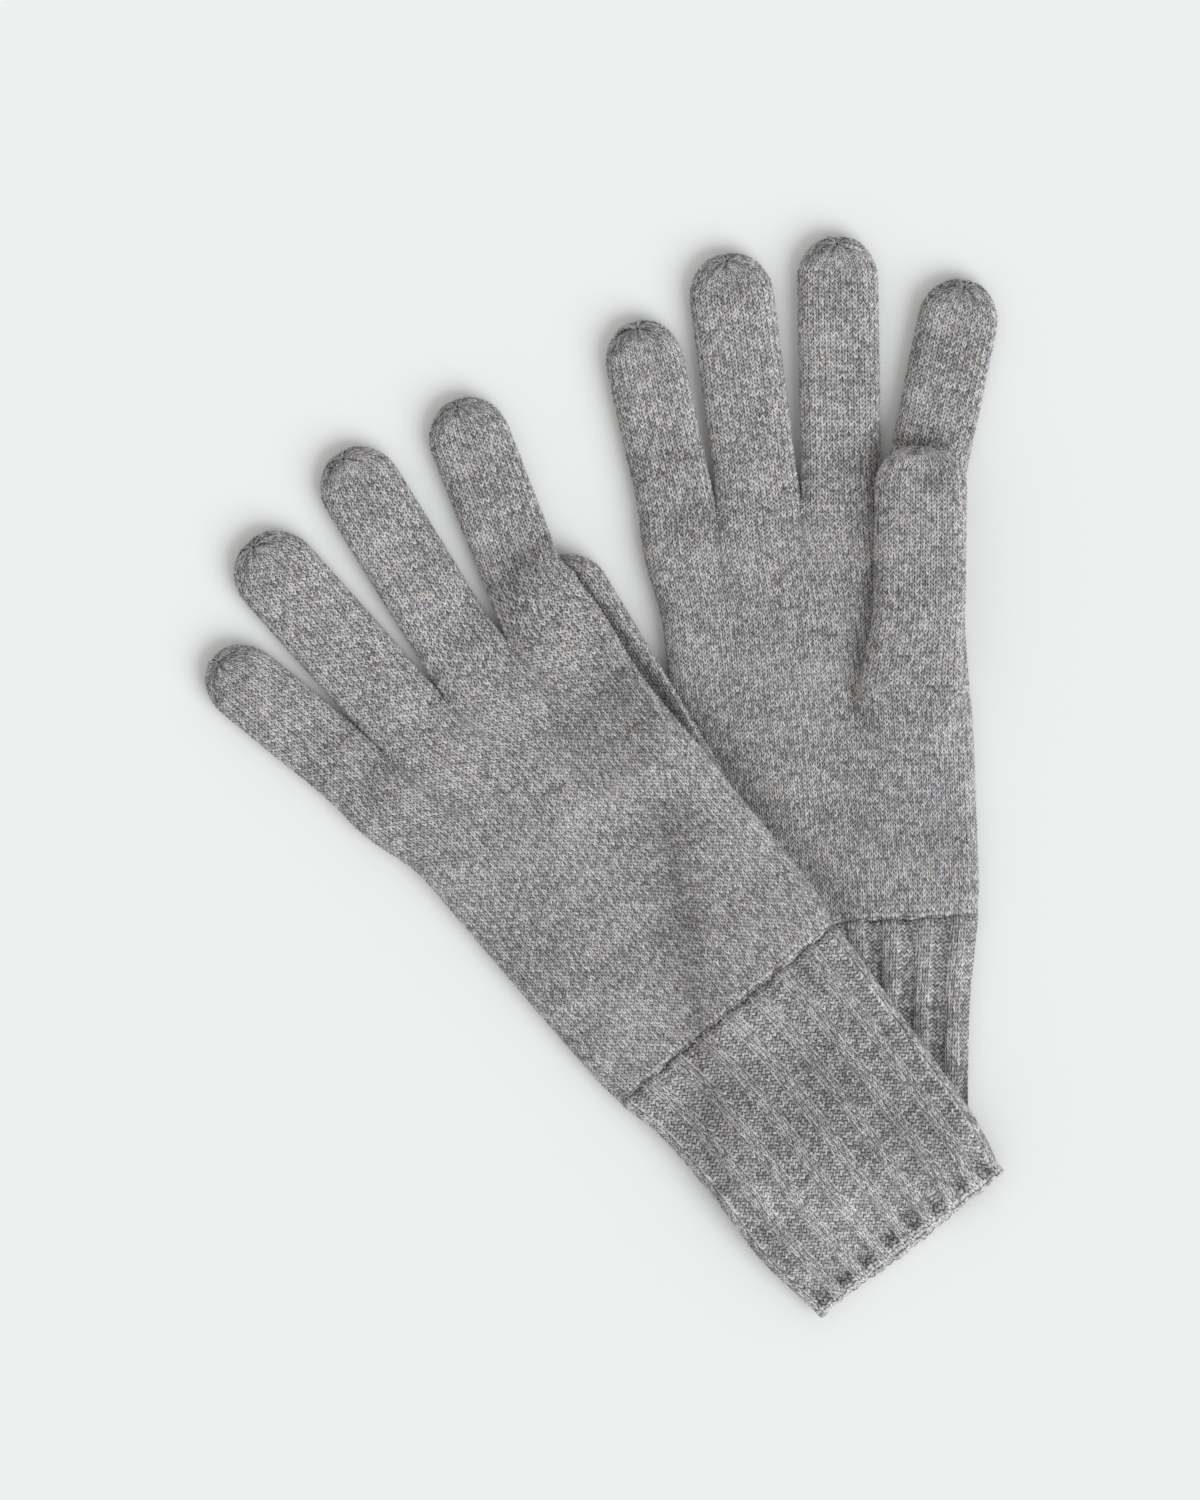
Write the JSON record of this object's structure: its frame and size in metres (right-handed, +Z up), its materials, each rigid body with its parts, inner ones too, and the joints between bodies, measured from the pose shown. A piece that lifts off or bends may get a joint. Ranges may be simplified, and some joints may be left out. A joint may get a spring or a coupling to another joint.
{
  "type": "knitted gloves",
  "caption": "Pair of fine plain-knit gloves with ribbed cuffs, one lying across the other, with fingers and thumbs that fold.",
  "frame": {"origin": "on the surface the pair lies on, under the middle of the pair's outline", "axes": "+Z up from the surface; +Y towards the rear glove's fingertips; +X to the right seen from above"},
  "size_m": [0.2218, 0.3028, 0.0249],
  "materials": {
    "plain_knit": "light grey heather plain knit, soft, matt",
    "rib_knit": "light grey heather rib knit, soft, matt",
    "joining_yarn": "light grey heather yarn, soft, matt"
  },
  "bodies": {
    "rear_hand": {"rear_hand": "plain_knit", "rear_linking_seam": "joining_yarn", "rear_crotch_stitches": "joining_yarn", "rear_cuff": "rib_knit", "rear_cuff_edge": "rib_knit"},
    "rear_index": {"rear_index": "plain_knit", "rear_index_tip_stitch": "joining_yarn"},
    "rear_middle": {"rear_middle": "plain_knit", "rear_middle_tip_stitch": "joining_yarn"},
    "rear_ring": {"rear_ring": "plain_knit", "rear_ring_tip_stitch": "joining_yarn"},
    "rear_little": {"rear_little": "plain_knit", "rear_little_tip_stitch": "joining_yarn"},
    "rear_thumb": {"rear_thumb": "plain_knit", "rear_thumb_tip_stitch": "joining_yarn"},
    "front_hand": {"front_hand": "plain_knit", "front_linking_seam": "joining_yarn", "front_crotch_stitches": "joining_yarn"},
    "front_cuff": {"front_cuff": "rib_knit", "front_cuff_edge": "rib_knit"},
    "front_index": {"front_index": "plain_knit", "front_index_tip_stitch": "joining_yarn"},
    "front_middle": {"front_middle": "plain_knit", "front_middle_tip_stitch": "joining_yarn"},
    "front_ring": {"front_ring": "plain_knit", "front_ring_tip_stitch": "joining_yarn"},
    "front_little": {"front_little": "plain_knit", "front_little_tip_stitch": "joining_yarn"},
    "front_thumb": {"front_thumb": "plain_knit", "front_thumb_tip_stitch": "joining_yarn"}
  },
  "joints": [
    {"name": "front_glove_lift", "type": "slide", "parent": "rear_hand", "child": "front_hand", "axis": [0, 0, 1], "range_m": [0, 0.06]},
    {"name": "rear_index_splay", "type": "hinge", "parent": "rear_hand", "child": "rear_index", "pos_m": [0.09891, 0.07597, 0.0035], "axis": [0, 0, -1], "range_deg": [0, 9]},
    {"name": "rear_middle_fold", "type": "hinge", "parent": "rear_hand", "child": "rear_middle", "pos_m": [0.06682, 0.07587, 0.007], "axis": [0.9999, 0.0157, 0], "range_deg": [0, 75]},
    {"name": "rear_ring_fold", "type": "hinge", "parent": "rear_hand", "child": "rear_ring", "pos_m": [0.04405, 0.07467, 0.007], "axis": [0.9914, 0.1305, 0], "range_deg": [0, 75]},
    {"name": "rear_little_fold", "type": "hinge", "parent": "rear_hand", "child": "rear_little", "pos_m": [0.02103, 0.07447, 0.007], "axis": [0.9767, 0.2147, 0], "range_deg": [0, 75]},
    {"name": "rear_thumb_fold", "type": "hinge", "parent": "rear_hand", "child": "rear_thumb", "pos_m": [0.08812, 0.02491, 0.0153], "axis": [0.9991, -0.0419, 0], "range_deg": [0, 75]},
    {"name": "front_index_fold", "type": "hinge", "parent": "front_hand", "child": "front_index", "pos_m": [-0.01801, 0.04552, 0.0156], "axis": [0.9323, 0.3616, 0], "range_deg": [0, 75]},
    {"name": "front_middle_fold", "type": "hinge", "parent": "front_hand", "child": "front_middle", "pos_m": [-0.03603, 0.0295, 0.0111], "axis": [0.8526, 0.5225, 0], "range_deg": [0, 75]},
    {"name": "front_ring_fold", "type": "hinge", "parent": "front_hand", "child": "front_ring", "pos_m": [-0.05201, 0.01308, 0.007], "axis": [0.7466, 0.6652, 0], "range_deg": [0, 75]},
    {"name": "front_little_fold", "type": "hinge", "parent": "front_hand", "child": "front_little", "pos_m": [-0.06707, -0.00086, 0.007], "axis": [0.6347, 0.7727, 0], "range_deg": [0, 75]},
    {"name": "front_thumb_swing", "type": "hinge", "parent": "front_hand", "child": "front_thumb", "pos_m": [0.02846, 0.00802, 0.0035], "axis": [0, 0, -1], "range_deg": [0, 6]},
    {"name": "front_cuff_turn_up", "type": "hinge", "parent": "front_hand", "child": "front_cuff", "pos_m": [0.03603, -0.06695, 0.0174], "axis": [-0.766, -0.6428, 0], "range_deg": [0, 85]}
  ]
}
